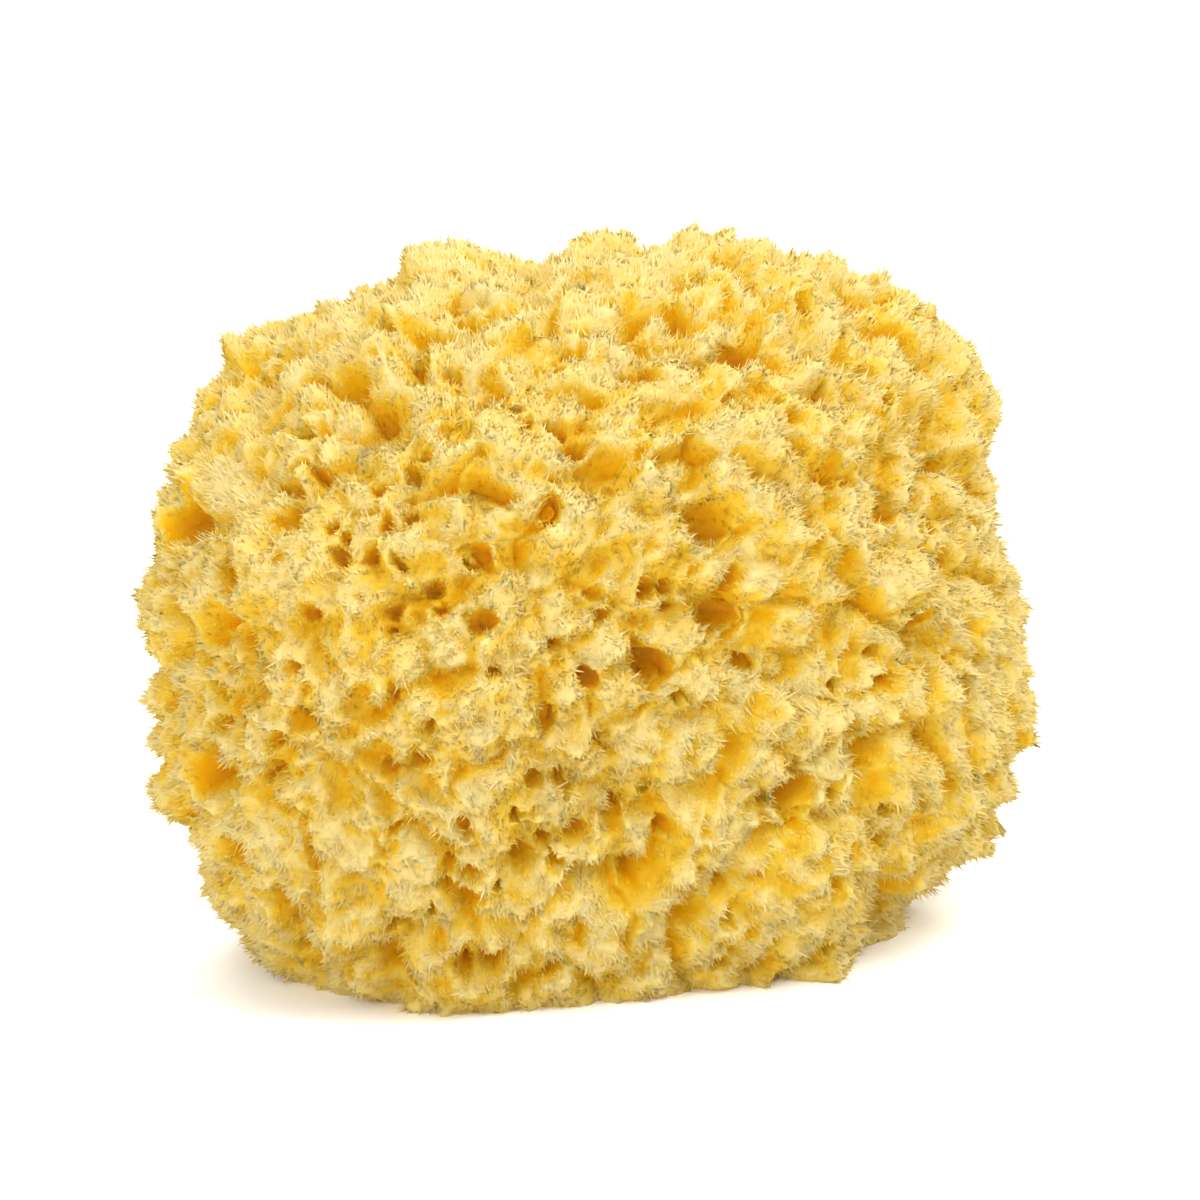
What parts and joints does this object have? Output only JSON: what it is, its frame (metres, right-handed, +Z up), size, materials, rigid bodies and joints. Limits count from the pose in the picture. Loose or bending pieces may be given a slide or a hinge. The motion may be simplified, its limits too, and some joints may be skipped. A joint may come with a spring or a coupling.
{
  "type": "sea sponge",
  "caption": "Natural bath sponge: a lumpy yellow dome of frayed, tufted spongin with round pores, trimmed flat underneath.",
  "frame": {"origin": "middle of the box's bottom, on the flat cut base", "axes": "+Z up from the cut base to the crown, +X along the longest side, -Y towards the shown side"},
  "size_m": [0.132, 0.09, 0.098],
  "materials": {
    "spongin": "matte, porous and frayed, pale yellow at the tips and golden in the pores"
  },
  "bodies": {
    "root": {"sponge": "spongin"}
  },
  "joints": []
}
